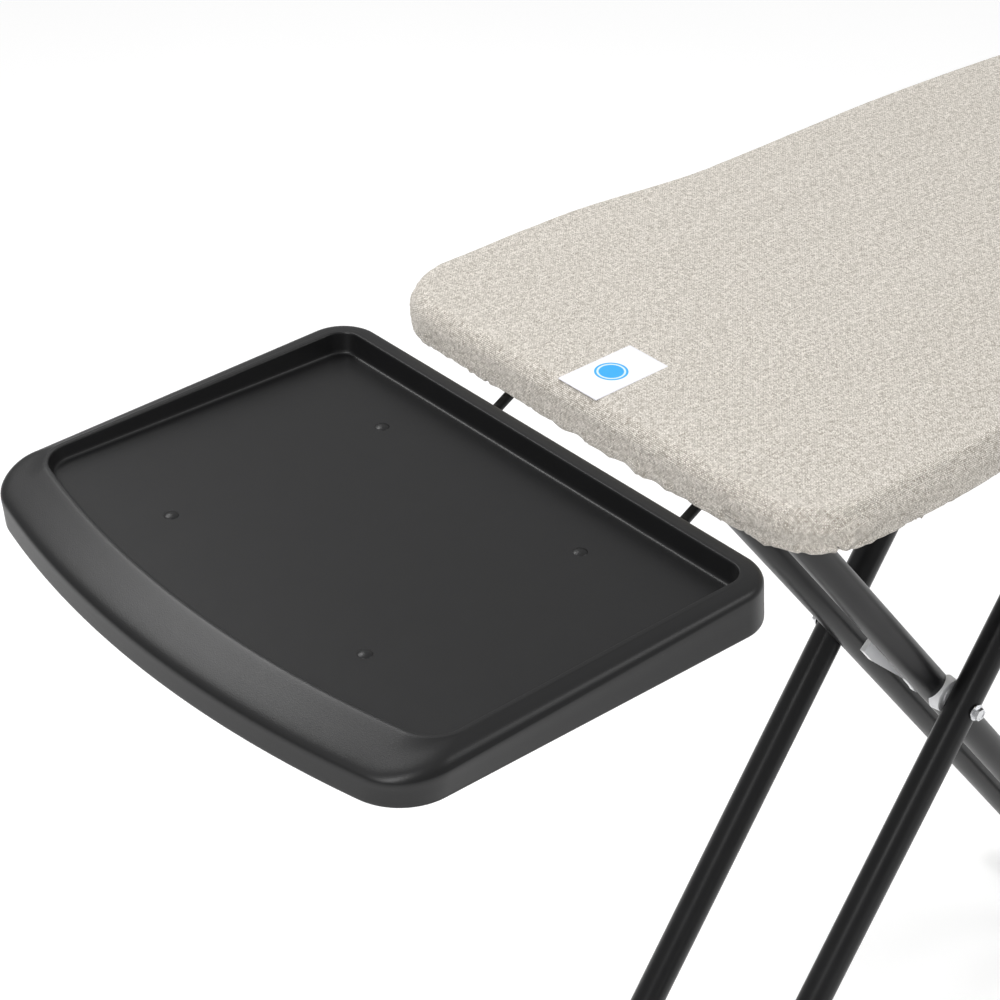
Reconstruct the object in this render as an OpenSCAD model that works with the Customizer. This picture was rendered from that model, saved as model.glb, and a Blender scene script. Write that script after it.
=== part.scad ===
// Ironing board with a steam unit tray, on two pairs of crossed tube legs that fold flat.
// X runs along the board to its nose, Y to its left side, and the floor is at Z = 0.

/* [Board] */
// Length of the steel board without its cover
board_l = 1240; // [1200:5:1280]
// Width of the steel board at its square end
board_w = 450; // [440:2:460]
// Width of the steel board at its waist
waist_w = 412; // [404:2:424]
// Height of the ironing surface above the floor
board_h = 985; // [940:5:1020]
// Radius of the covered corners at the square end
corner_r = 58; // [46:2:70]

/* [Cover and pad] */
// Thickness of the cover cloth
cloth_t = 1.5; // [1:0.1:2]
// Thickness of the foam pad under the cover
pad_t = 8; // [5:0.5:10]
// Height of the cover's side band, from the ironing surface to its hem
band_h = 34; // [30:1:36]

/* [Legs] */
// Outer diameter of the leg tubes
tube_d = 28; // [24:1:29]
// Wall thickness of the leg tubes
tube_wall = 1.2; // [1:0.1:2]
// Slope of the inner legs when the board stands, in degrees
inner_slope = 52.2; // [50:0.1:54]
// Slope of the outer legs when the board stands, in degrees
outer_slope = 55.8; // [54:0.1:58]
// Distance from the middle to the inner leg tubes
inner_y = 44; // [43.5:0.1:44.2]
// Distance from the middle to the outer leg tubes
outer_y = 75.3; // [75.2:0.1:76]
// Length of each foot tube with its end caps
foot_l = 330; // [320:5:440]
// Diameter of the rubber foot caps
cap_d = 36; // [34:1:40]

/* [Tray] */
// Length of the tray along the board
tray_l = 355; // [345:1:365]
// Width of the tray next to the board
tray_w = 464; // [456:2:468]
// Height of the tray's side skirt
tray_h = 36; // [34:1:40]
// Depth of the tray's recess at its middle
recess_d = 13; // [10:1:16]
// Wall thickness of the moulded tray
tray_wall = 3; // [2.5:0.1:3.5]
// Gap between the tray and the covered board
tray_gap = 28; // [24:1:36]
// Diameter of the steel wires that carry the tray
wire_d = 8; // [7:0.5:8]

/* [Hidden] */
$fn = 48;

// Length of the covered board and its place along X
cover_out = 4;
cover_l = board_l + 2 * cover_out;
x_tray_out = -(tray_l + tray_gap + cover_l) / 2;
x_tray_in = x_tray_out + tray_l;
x_cover = x_tray_in + tray_gap;
flare_half = board_w / 2 + cover_out;
waist_half = waist_w / 2 + cover_out;
flare_end = 160;
waist_start = 340;
taper_start = 480;
taper_l = cover_l - taper_start;

// Heights of the layers of the board, from the top down
z_cloth = board_h - cloth_t;
z_pad = z_cloth - pad_t;
label_t = 0.3;
plate_t = 1.2;
z_plate = z_pad - plate_t;
z_hem = board_h - band_h;
rim_h = 18;
rim_in = 2.4;
sheet_t = 1.5;
lip_w = 16;
strut_h = 10;
strut_w = 30;
z_strut = z_plate - strut_h;

// The crossing of the legs, the hinge of the inner legs and the bar that slides
pivot_drop = 417;
hinge_drop = 65;
slide_drop = 37;
x_pivot = x_cover + 374;
z_pivot = board_h - pivot_drop;
z_hinge = board_h - hinge_drop;
z_slide = board_h - slide_drop;
inner_up = (pivot_drop - hinge_drop) / sin(inner_slope);
outer_up = (pivot_drop - slide_drop) / sin(outer_slope);
inner_down = (z_pivot - cap_d / 2) / sin(inner_slope);
outer_down = (z_pivot - cap_d / 2) / sin(outer_slope);
x_hinge = x_pivot - inner_up * cos(inner_slope);
x_slide = x_pivot + outer_up * cos(outer_slope);
x_slide_folded = x_hinge + inner_up + outer_up;
x_inner_foot = x_pivot + inner_down * cos(inner_slope);
x_outer_foot = x_pivot - outer_down * cos(outer_slope);
tube_r = tube_d / 2;
hinge_bar_r = 8;
slide_bar_r = 7;
slide_bar_half = 102;
brace_r = 9;
inner_brace_at = 640;
outer_brace_at = 560;
run_gap = 0.06;
cap_len = 34;

// Pivot bolts and their saddle spacers
bolt_r = 4;
bolt_head_r = 7.2;
lock_gap = 0.5;
lock_t = 5;
spacer_r = 16;
spacer_face_r = 15;
spacer_crown = 2.8;
spacer_start = 7;
spacer_groove = 1.2;

// Rails, rack and struts under the board
rail_in = 91;
rail_out = 105;
rail_start = x_slide - 25;
rail_end = x_slide_folded + 20;
rail_bottom = z_slide - 14.5;
rail_top = z_strut;
shoe_l = 36;
strut_x = [x_hinge, x_hinge + 110, rail_start + 20, (rail_start + rail_end) / 2, rail_end - 20];
height_steps = [0, 80, 165, 260, 372];
lever_half = 12;
lever_l = 95;
lever_slope = 22;

// Tray supports
z_rim = board_h - 16;
z_wire_low = z_rim - tray_h - wire_d / 2;
wire_y = 100;
wire_rise = 25;
wire_run = 45;
x_wire_bend = x_cover + 6;
x_wire_front = x_tray_out + 70;
x_wire_end = strut_x[1] + 24;
z_wire_high = z_wire_low + wire_rise;
x_tray_mid = (x_tray_out + x_tray_in) / 2;
tray_corner_in = 34;
tray_corner_out = 44;
tray_bow_r = 840;
rim_tilt = -1.2;
floor_tilt = 1.5;
clip_x = [x_tray_out + 99.5, x_tray_in - 70];

// Half the width of the covered board at distance s from its square end, moved in by inset
function half_width(s, inset) =
    s < corner_r ? flare_half - corner_r
        + sqrt(max(0, pow(corner_r - inset, 2) - pow(corner_r - s, 2)))
    : s < flare_end ? flare_half - inset
    : s < waist_start ? waist_half - inset + (flare_half - waist_half)
        * (1 + cos(180 * (s - flare_end) / (waist_start - flare_end))) / 2
    : s < taper_start ? waist_half - inset
    : (waist_half - inset)
        * sqrt(max(0, 1 - pow((s - taper_start) / (taper_l - inset), 1.6)));

// Distances from the square end at which the outline has its points
function stations(inset) = concat(
    [for (a = [0 : 15 : 90]) corner_r - (corner_r - inset) * cos(a)],
    [for (s = [flare_end : 32 : taper_start]) s],
    [for (a = [5 : 5 : 90]) taper_start + (taper_l - inset) * sin(a)]);

// Outline of the board, moved in by inset, from the left corner round the nose and back
function outline(inset) = let (st = stations(inset)) concat(
    [for (s = st) [x_cover + s, half_width(s, inset)]],
    [for (i = [len(st) - 2 : -1 : 0]) [x_cover + st[i], -half_width(st[i], inset)]]);

module slab(inset, z0, z1) {
    translate([0, 0, z0]) linear_extrude(z1 - z0) polygon(outline(inset));
}

module ring(inset, w, z0, z1) {
    difference() {
        slab(inset, z0, z1);
        slab(inset + w, z0 - 1, z1 + 1);
    }
}

// A box given by its middle in X and Y, its bottom and its size
module block(x, y, z, size) {
    translate([x - size[0] / 2, y - size[1] / 2, z]) cube(size);
}

// A round bar along Y
module bar_y(x, z, r, y0, y1) {
    translate([x, y0, z]) rotate([-90, 0, 0]) cylinder(r = r, h = y1 - y0);
}

// A wire through a list of points, with round bends and flat ends
module wire(points, r) {
    for (i = [0 : len(points) - 2]) {
        d = points[i + 1] - points[i];
        translate(points[i]) rotate([0, acos(d[2] / norm(d)), atan2(d[1], d[0])])
            cylinder(r = r, h = norm(d));
    }
    for (i = [1 : len(points) - 2]) translate(points[i]) sphere(r = r);
}

// Frames with Z along the inner or outer legs, from their crossing up to the board
module along_inner() {
    translate([x_pivot, 0, z_pivot]) rotate([0, inner_slope - 90, 0]) children();
}

module along_outer() {
    translate([x_pivot, 0, z_pivot]) rotate([0, 90 - outer_slope, 0]) children();
}

// Board and cover

module cover() {
    color([0.76, 0.72, 0.66]) difference() {
        slab(0, z_hem, board_h);
        slab(cloth_t, z_hem + cloth_t, z_cloth);
        slab(lip_w, z_hem - 1, z_hem + cloth_t + 1);
        label_block(1);
    }
}

module foam_pad() {
    color([0.9, 0.88, 0.82]) slab(rim_in, z_pad, z_cloth);
}

module mesh_plate() {
    pitch = 60;
    hole_r = 26;
    row = pitch * sin(60);
    color([0.16, 0.16, 0.17]) difference() {
        slab(rim_in, z_plate, z_pad);
        for (i = [-4 : 4], j = [0 : 20]) {
            s = 45 + (j + (i % 2 == 0 ? 0 : 0.5)) * pitch;
            if (s < cover_l - 40 && abs(i) * row + hole_r < half_width(min(s + hole_r, cover_l - 2), 14))
                translate([x_cover + s, i * row, z_plate - 1]) rotate(30)
                    cylinder(r = hole_r, h = plate_t + 2, $fn = 6);
        }
    }
}

// The turned-down edge of the board: an outer wall and a lip at its foot
module rim_profile() {
    ring(rim_in, sheet_t, z_plate - rim_h, z_plate);
    ring(rim_in, 9, z_plate - rim_h, z_plate - rim_h + sheet_t);
}

module tail_box(grow) {
    translate([x_cover - 5, -160 - grow, z_plate - rim_h - 1]) cube([60, 320 + 2 * grow, rim_h + 2]);
}

module rim_side(side) {
    color([0.16, 0.16, 0.17]) difference() {
        rim_profile();
        tail_box(0.2);
        translate([x_cover - 10, side > 0 ? -flare_half - 10 : -0.2, z_plate - rim_h - 1])
            cube([cover_l + 20, flare_half + 10.2, rim_h + 2]);
    }
}

module rim_tail() {
    color([0.16, 0.16, 0.17]) intersection() {
        rim_profile();
        tail_box(0);
    }
}

// A pressed channel across the board, open towards the floor
module cross_strut(n) {
    x = strut_x[n - 1];
    half = half_width(x + strut_w / 2 - x_cover, rim_in + sheet_t) - 0.5;
    color([0.16, 0.16, 0.17]) difference() {
        block(x, 0, z_strut, [strut_w, 2 * half, strut_h]);
        block(x, 0, z_strut - 1, [strut_w - 2.4, 2 * half - 8, strut_h - 0.2]);
    }
}

// A C-channel that guides a sliding shoe, open towards the middle
module slide_rail(side) {
    w = rail_out - rail_in;
    h = rail_top - rail_bottom;
    mid = side * (rail_in + rail_out) / 2;
    color([0.2, 0.2, 0.21]) difference() {
        block((rail_start + rail_end) / 2, mid, rail_bottom, [rail_end - rail_start, w, h]);
        block((rail_start + rail_end) / 2, mid - side * sheet_t, rail_bottom + sheet_t,
            [rail_end - rail_start + 2, w, h - 2 * sheet_t]);
    }
}

// A flat strip with a pair of slots for each height of the board
module height_rack() {
    rack_t = 3;
    x0 = rail_start + 5;
    color([0.55, 0.56, 0.58]) difference() {
        translate([x0, -15, z_strut - rack_t]) cube([rail_end - rail_start - 10, 30, rack_t]);
        for (step = height_steps, y = [-8, 8])
            block(x_slide + step, y, z_strut - rack_t - 1, [6, 9, rack_t + 2]);
    }
}

// An ear under the first strut with the bore that the hinge bar turns in
module hinge_bracket(side) {
    ear_t = 4;
    color([0.2, 0.2, 0.21]) difference() {
        union() {
            bar_y(x_hinge, z_hinge, hinge_bar_r + 6, side * 22 - ear_t / 2, side * 22 + ear_t / 2);
            block(x_hinge, side * 22, z_hinge, [2 * hinge_bar_r + 12, ear_t, z_strut - z_hinge]);
            block(x_hinge, side * 18, z_strut - 2.5, [40, 12, 2.5]);
        }
        bar_y(x_hinge, z_hinge, hinge_bar_r + run_gap, side * 22 - 10, side * 22 + 10);
    }
}

module hem_cord() {
    color([0.9, 0.9, 0.88]) ring(lip_w - 4, 3, z_hem + cloth_t, z_plate - rim_h);
}

// The toggle that holds the two ends of the hem cord, under the square end
module cord_toggle() {
    x = x_cover + lip_w + 6;
    color([0.2, 0.2, 0.21]) difference() {
        union() {
            block(x, 0, z_hem + cloth_t, [14, 22, 12]);
            translate([x, 0, z_hem + cloth_t + 12]) cylinder(r = 4, h = 5);
        }
        for (y = [-5, 5]) translate([x - 8, y, z_hem + cloth_t + 5]) rotate([0, 90, 0])
            cylinder(r = 1.8, h = 16);
    }
}

module label_block(above) {
    block(x_cover + 42.5, 13.25, board_h - label_t, [71, 40.5, label_t + above]);
}
module label() {
    color([0.95, 0.96, 0.97]) label_block(0);
}

// Tray for the steam unit

// Outline of the tray, moved in by inset, by end more at its bowed outer end, where it is
// narrow less wide on each side than next to the board
function tray_outline(inset, end, narrow) =
    let (
        half_in = tray_w / 2,
        r_in = tray_corner_in - inset,
        r_out = tray_corner_out - inset,
        bow_r = tray_bow_r - inset,
        bow_x = x_tray_out + tray_bow_r + end,
        y_out = half_in - narrow - tray_corner_out,
        x_out = bow_x - sqrt(pow(tray_bow_r - tray_corner_out, 2) - pow(y_out, 2)),
        turn = asin(y_out / (tray_bow_r - tray_corner_out)),
        left = concat(
            [for (a = [0 : 10 : 90]) [x_tray_in - tray_corner_in + r_in * cos(a),
                half_in - tray_corner_in + r_in * sin(a)]],
            [for (k = [0 : 8]) let (a = 90 + k * (90 - turn) / 8)
                [x_out + r_out * cos(a), y_out + r_out * sin(a)]],
            [for (k = [1 : 5]) let (a = 180 - turn + k * turn / 5)
                [bow_x + bow_r * cos(a), bow_r * sin(a)]]))
    concat(left, [for (i = [len(left) - 2 : -1 : 0]) [left[i][0], -left[i][1]]]);

// One level of the tray: its height at the middle, its outline and its tilt along X
module tray_level(z, inset, end, narrow, tilt) {
    translate([x_tray_mid, 0, z]) rotate([0, tilt, 0]) translate([-x_tray_mid, 0, 0])
        linear_extrude(0.05) polygon(tray_outline(inset, end, narrow));
}

module tray_solid(levels) {
    hull() for (level = levels) tray_level(level[0], level[1], level[2], level[3], level[4]);
}

// Height of the upper side of the tray's floor at x
function tray_floor(x) = z_rim - recess_d - (x - x_tray_mid) * tan(floor_tilt);

// The rim falls from the lip of the recess to an edge that drops towards the outer end
module tray() {
    z0 = z_rim - tray_h;
    z_floor = z_rim - recess_d;
    lip_end = 20;
    color([0.12, 0.12, 0.13]) difference() {
        tray_solid([
            [z0, 0.8, 0.6, 4.5, 0], [z0 + 1.5, 0, 0, 4.5, 0], [z_rim - 12.2, 1.2, -1.2, -1.2, rim_tilt],
            [z_rim - 8, 2.9, 0, -0.9, rim_tilt], [z_rim - 5.4, 5, 2.2, -0.3, rim_tilt],
            [z_rim - 0.05, 14.5, lip_end, -1, 0]]);
        tray_solid([
            [z_floor, 21.4, lip_end, -1, floor_tilt], [z_floor + 2, 20.2, lip_end, -1, floor_tilt],
            [z_rim - 0.05, 18, lip_end, -1, 0], [z_rim + 1, 17.9, lip_end, -1, 0]]);
        tray_solid([
            [z0 - 1, 3.8, 1, 4.5, 0], [z_floor - tray_wall, 9, 6, 0, floor_tilt]]);
        difference() {
            tray_solid([
                [z0, 3.8, 1, 4.5, 0], [z_rim - 13 - tray_wall, 5.4, 1, 1, rim_tilt],
                [z_rim - tray_wall - 0.6, 17, lip_end, 0, 0]]);
            tray_solid([
                [z0 - 1, 17.6, lip_end - 2, 0, 0], [z_rim, 15, lip_end, -1, 0]]);
        }
    }
}

module tray_wire_side(side) {
    y = side * wire_y;
    color([0.12, 0.12, 0.13]) wire([
        [x_wire_front, y, z_wire_low], [x_wire_bend, y, z_wire_low],
        [x_wire_bend + wire_run, y, z_wire_high], [x_wire_end, y, z_wire_high]], wire_d / 2);
}

module tray_wire_front() {
    color([0.12, 0.12, 0.13])
        bar_y(x_wire_front - wire_d / 2, z_wire_low, wire_d / 2, -wire_y - 12, wire_y + 12);
}

// Saddle clips that hold the wires under the tray, each with a boss up to its floor
module tray_clips() {
    color([0.14, 0.14, 0.15]) for (x = clip_x, side = [-1, 1]) difference() {
        union() {
            block(x, side * wire_y, z_wire_low - wire_d / 2 - 3, [18, wire_d + 8, wire_d + 3]);
            block(x, side * wire_y, z_wire_low + wire_d / 2, [18, wire_d + 8,
                tray_floor(x + 9) - tray_wall - z_wire_low - wire_d / 2 - 0.4]);
        }
        translate([x - 10, side * wire_y, z_wire_low]) rotate([0, 90, 0])
            cylinder(r = wire_d / 2 + 0.2, h = 20);
        translate([x, side * (wire_y + wire_d / 2 + 2), z_wire_low - 20]) cylinder(r = 1.6, h = 60);
    }
}

module tray_screws() {
    color([0.7, 0.7, 0.72]) for (x = clip_x, side = [-1, 1])
        translate([x, side * (wire_y + wire_d / 2 + 2), z_wire_low - wire_d / 2 - 5]) {
            cylinder(r = 3.2, h = 2);
            cylinder(r = 1.5, h = 28);
        }
}

// Two clamps on one side that hold a tray wire under the struts
module wire_clamp(side) {
    h = z_strut - z_wire_high + wire_d / 2 + 3;
    color([0.14, 0.14, 0.15]) for (x = [strut_x[0], strut_x[1]]) difference() {
        block(x, side * wire_y, z_wire_high - wire_d / 2 - 3, [26, wire_d + 12, h]);
        translate([x - 14, side * wire_y, z_wire_high]) rotate([0, 90, 0])
            cylinder(r = wire_d / 2 + 0.1, h = 28);
        for (s = [-1, 1]) translate([x, side * wire_y + s * (wire_d / 2 + 3), z_wire_high - 20])
            cylinder(r = 1.6, h = 40);
    }
}

module clamp_screws() {
    color([0.7, 0.7, 0.72]) for (x = [strut_x[0], strut_x[1]], side = [-1, 1], s = [-1, 1])
        translate([x, side * wire_y + s * (wire_d / 2 + 3), z_wire_high - wire_d / 2 - 5]) {
            cylinder(r = 2.8, h = 2);
            cylinder(r = 1.5, h = z_strut - z_wire_high + wire_d / 2 + 4.8);
        }
}

// Inner legs

// A round tube along local Z, open at both ends
module tube(r, wall, z0, z1) {
    translate([0, 0, z0]) difference() {
        cylinder(r = r, h = z1 - z0);
        translate([0, 0, -1]) cylinder(r = r - wall, h = z1 - z0 + 2);
    }
}

module cross_hole(r, z) {
    translate([0, -40, z]) rotate([-90, 0, 0]) cylinder(r = r, h = 80);
}

module inner_leg(side) {
    color([0.11, 0.11, 0.12]) along_inner() translate([0, side * inner_y, 0]) difference() {
        tube(tube_r, tube_wall, -inner_down, inner_up + 12);
        cross_hole(bolt_r + run_gap, 0);
        cross_hole(hinge_bar_r, inner_up);
        cross_hole(tube_r, -inner_down);
    }
}

// Plastic plugs in the upper ends of the inner legs
module leg_plugs() {
    color([0.14, 0.14, 0.15]) along_inner() for (s = [-1, 1])
        translate([0, s * inner_y, inner_up + 12]) cylinder(r = tube_r, h = 2.5);
}

module hinge_bar() {
    color([0.11, 0.11, 0.12]) difference() {
        bar_y(x_hinge, z_hinge, hinge_bar_r, -inner_y - tube_r - 1, inner_y + tube_r + 1);
        bar_y(x_hinge, z_hinge, hinge_bar_r - 1.5, -inner_y - tube_r - 2, inner_y + tube_r + 2);
    }
}

// A brace between two leg tubes, coped to fit them
module leg_brace(y, at) {
    difference() {
        translate([0, -y, -at]) rotate([-90, 0, 0]) cylinder(r = brace_r, h = 2 * y);
        translate([0, -y - 1, -at]) rotate([-90, 0, 0]) cylinder(r = brace_r - tube_wall, h = 2 * y + 2);
        for (s = [-1, 1]) translate([0, s * y, -at - 30]) cylinder(r = tube_r, h = 60);
    }
}

module inner_brace() {
    color([0.11, 0.11, 0.12]) along_inner() leg_brace(inner_y, inner_brace_at);
}

module outer_brace() {
    color([0.11, 0.11, 0.12]) along_outer() leg_brace(outer_y, outer_brace_at);
}

// The tube that lies across at the foot of a pair of legs
module foot_tube(x) {
    half = foot_l / 2 - 4;
    color([0.11, 0.11, 0.12]) difference() {
        bar_y(x, cap_d / 2, tube_r, -half, half);
        bar_y(x, cap_d / 2, tube_r - tube_wall, -half - 1, half + 1);
    }
}

// A rubber cap that slips over the end of a foot tube
module foot_cap(x, side) {
    y_end = side * foot_l / 2;
    y_in = y_end - side * cap_len;
    color([0.25, 0.25, 0.26]) difference() {
        bar_y(x, cap_d / 2, cap_d / 2, min(y_end, y_in), max(y_end, y_in));
        bar_y(x, cap_d / 2, tube_r + 0.05, min(y_end - 4 * side, y_in - side),
            max(y_end - 4 * side, y_in - side));
    }
}

// A round spacer on the pivot bolt, hollowed to hug the outer side of an inner leg
module pivot_spacer(side) {
    crown = inner_y + tube_r + spacer_crown;
    h = crown - inner_y - spacer_start;
    color([0.7, 0.71, 0.72]) along_inner() mirror([0, side > 0 ? 0 : 1, 0]) difference() {
        translate([0, inner_y + spacer_start, 0]) rotate([-90, 0, 0]) difference() {
            cylinder(r1 = spacer_r, r2 = spacer_face_r, h = h);
            translate([0, 0, h - spacer_groove]) difference() {
                cylinder(r = spacer_face_r - 3, h = spacer_groove + 1);
                translate([0, 0, -1]) cylinder(r = bolt_r + 3, h = spacer_groove + 3);
            }
        }
        translate([0, inner_y, -2 * spacer_r]) cylinder(r = tube_r + 0.05, h = 4 * spacer_r);
        translate([0, inner_y, 0]) cross_hole(bolt_r + run_gap, 0);
    }
}

// A pan head bolt with its head inside the inner leg; the right one also carries the lock
module pivot_bolt(side) {
    y_head = inner_y - tube_r - (side > 0 ? 0.1 : lock_gap + lock_t + 0.4);
    y_end = outer_y + tube_r + 5.5;
    color([0.75, 0.75, 0.77]) translate([x_pivot, 0, z_pivot]) rotate([side > 0 ? -90 : 90, 0, 0]) {
        translate([0, 0, y_head]) cylinder(r = bolt_r, h = y_end - y_head);
        translate([0, 0, y_head - 3.5]) cylinder(r = bolt_head_r, h = 3.5);
    }
}

// A flanged hexagon nut on the outside of an outer leg
module pivot_nut(side) {
    y0 = outer_y + tube_r + 0.3;
    color([0.75, 0.75, 0.77]) translate([x_pivot, 0, z_pivot]) rotate([side > 0 ? -90 : 90, 0, 0])
        difference() {
            union() {
                translate([0, 0, y0]) cylinder(r = 7.5, h = 1.2);
                translate([0, 0, y0 + 1.2]) cylinder(r = 5.8, h = 4.5, $fn = 6);
            }
            translate([0, 0, y0 - 1]) cylinder(r = bolt_r, h = 12);
        }
}

// Outer legs

module outer_leg(side) {
    lug_t = 6;
    lug_r = 11;
    tube_end = outer_up - 20;
    color([0.11, 0.11, 0.12]) along_outer() translate([0, side * outer_y, 0]) difference() {
        union() {
            tube(tube_r, tube_wall, -outer_down, tube_end);
            translate([0, -lug_t / 2, outer_up]) rotate([-90, 0, 0]) cylinder(r = lug_r, h = lug_t);
            translate([-lug_r, -lug_t / 2, tube_end]) cube([2 * lug_r, lug_t, 20]);
            translate([-tube_r + 0.5, -lug_t / 2, tube_end - 14]) cube([2 * tube_r - 1, lug_t, 18]);
        }
        cross_hole(bolt_r + run_gap, 0);
        cross_hole(slide_bar_r, outer_up);
        cross_hole(tube_r, -outer_down);
    }
}

module slide_bar() {
    color([0.6, 0.6, 0.62]) difference() {
        bar_y(x_slide, z_slide, slide_bar_r, -slide_bar_half, slide_bar_half);
        bar_y(x_slide, z_slide, slide_bar_r - 2, -slide_bar_half - 1, slide_bar_half + 1);
    }
}

// A plastic shoe on the end of the slide bar, running in its rail
module slide_shoe(side) {
    y0 = rail_in + 0.8;
    y1 = rail_out - sheet_t - 0.8;
    color([0.7, 0.71, 0.72]) difference() {
        block(x_slide, side * (y0 + y1) / 2, z_slide - 9.5, [shoe_l, y1 - y0, 20]);
        bar_y(x_slide, z_slide, slide_bar_r + run_gap, side * 97 - 20, side * 97 + 20);
    }
}

// Release lever on the slide bar: a sleeve, a pawl that points up at the rack and an arm
module along_lever() {
    translate([x_slide, 0, z_slide]) rotate([0, -lever_slope, 0]) children();
}

module release_lever() {
    color([0.55, 0.56, 0.58]) difference() {
        union() {
            bar_y(x_slide, z_slide, slide_bar_r + 1.8, -lever_half, lever_half);
            for (s = [-1, 1]) along_lever()
                translate([-lever_l, s * (lever_half - 2.5) - 1.5, -6]) cube([lever_l - 4, 3, 9]);
            for (s = [-1, 1]) block(x_slide, s * 4, z_slide + 7.5, [6, 4, 2]);
        }
        bar_y(x_slide, z_slide, slide_bar_r + run_gap, -lever_half - 1, lever_half + 1);
    }
}

module lever_grip() {
    color([0.3, 0.45, 0.6]) along_lever() difference() {
        translate([-lever_l - 12, -lever_half - 6, -9]) cube([62, 2 * lever_half + 12, 15]);
        translate([-lever_l - 0.1, -lever_half + 0.9, -6.1]) cube([lever_l, 2 * lever_half - 1.8, 9.2]);
        translate([-lever_l + 12, -lever_half + 6, -10]) cube([30, 2 * lever_half - 12, 20]);
    }
}

// Torsion spring beside the lever's sleeve
module lever_spring() {
    color([0.75, 0.75, 0.77]) for (k = [0 : 4]) translate([x_slide, lever_half + 2 + 2.1 * k, z_slide])
        rotate([90, 0, 0]) rotate_extrude() translate([slide_bar_r + 1.4, 0]) circle(r = 0.9);
}

// Transport lock: a plastic hook on the inner side of the right inner leg
module lock_lever() {
    lock_l = 103;
    lock_y = -inner_y + tube_r + lock_gap;
    color([0.72, 0.73, 0.74]) along_inner() translate([0, lock_y + lock_t, 0]) rotate([90, 0, 0])
        difference() {
            linear_extrude(lock_t) union() {
                circle(r = 12);
                polygon([[11, 4], [9, lock_l], [-21, lock_l - 1], [-21.2, lock_l - 20],
                    [-11, 22], [-11.5, 0]]);
            }
            translate([0, 0, -1]) cylinder(r = bolt_r + run_gap, h = 8);
        }
}

cover();
foam_pad();
mesh_plate();
rim_side(1);  // rim_left
rim_side(-1);  // rim_right
rim_tail();
for (n = [1 : 5]) cross_strut(n);
slide_rail(1);  // slide_rail_left
slide_rail(-1);  // slide_rail_right
height_rack();
hinge_bracket(1);  // hinge_bracket_left
hinge_bracket(-1);  // hinge_bracket_right
hem_cord();
cord_toggle();
label();
tray();
tray_wire_side(1);  // tray_wire_left
tray_wire_side(-1);  // tray_wire_right
tray_wire_front();
tray_clips();
tray_screws();
wire_clamp(1);  // wire_clamp_left
wire_clamp(-1);  // wire_clamp_right
clamp_screws();
inner_leg(1);  // inner_leg_left
inner_leg(-1);  // inner_leg_right
leg_plugs();
hinge_bar();
inner_brace();
foot_tube(x_inner_foot);  // inner_foot_tube
foot_cap(x_inner_foot, 1);  // inner_foot_cap_left
foot_cap(x_inner_foot, -1);  // inner_foot_cap_right
pivot_spacer(1);  // pivot_spacer_left
pivot_spacer(-1);  // pivot_spacer_right
pivot_bolt(1);  // pivot_bolt_left
pivot_bolt(-1);  // pivot_bolt_right
pivot_nut(1);  // pivot_nut_left
pivot_nut(-1);  // pivot_nut_right
outer_leg(1);  // outer_leg_left
outer_leg(-1);  // outer_leg_right
slide_bar();
outer_brace();
foot_tube(x_outer_foot);  // outer_foot_tube
foot_cap(x_outer_foot, 1);  // outer_foot_cap_left
foot_cap(x_outer_foot, -1);  // outer_foot_cap_right
slide_shoe(1);  // slide_shoe_left
slide_shoe(-1);  // slide_shoe_right
lever_spring();
release_lever();
lever_grip();
lock_lever();
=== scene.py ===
import math

import bpy
import numpy as np
from mathutils import Matrix, Vector


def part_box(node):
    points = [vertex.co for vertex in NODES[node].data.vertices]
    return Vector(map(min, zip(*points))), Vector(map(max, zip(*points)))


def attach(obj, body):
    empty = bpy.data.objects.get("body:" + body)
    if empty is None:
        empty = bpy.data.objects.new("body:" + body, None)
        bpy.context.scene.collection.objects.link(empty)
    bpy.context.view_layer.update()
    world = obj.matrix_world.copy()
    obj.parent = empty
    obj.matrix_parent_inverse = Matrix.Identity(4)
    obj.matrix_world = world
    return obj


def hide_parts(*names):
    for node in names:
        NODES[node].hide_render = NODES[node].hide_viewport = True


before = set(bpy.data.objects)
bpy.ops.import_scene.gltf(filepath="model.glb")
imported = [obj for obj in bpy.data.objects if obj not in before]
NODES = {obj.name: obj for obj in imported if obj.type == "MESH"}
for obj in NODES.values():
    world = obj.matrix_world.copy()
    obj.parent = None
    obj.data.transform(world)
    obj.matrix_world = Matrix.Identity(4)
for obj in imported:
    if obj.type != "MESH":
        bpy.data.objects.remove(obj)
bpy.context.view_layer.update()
MM = 0.001


# ---------------------------------------------------------------- node materials


def put(tree, socket, value):
    """Links value to the socket if it is an output, or sets it there."""
    if isinstance(value, bpy.types.NodeSocket):
        tree.links.new(value, socket)
    else:
        socket.default_value = value


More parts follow.
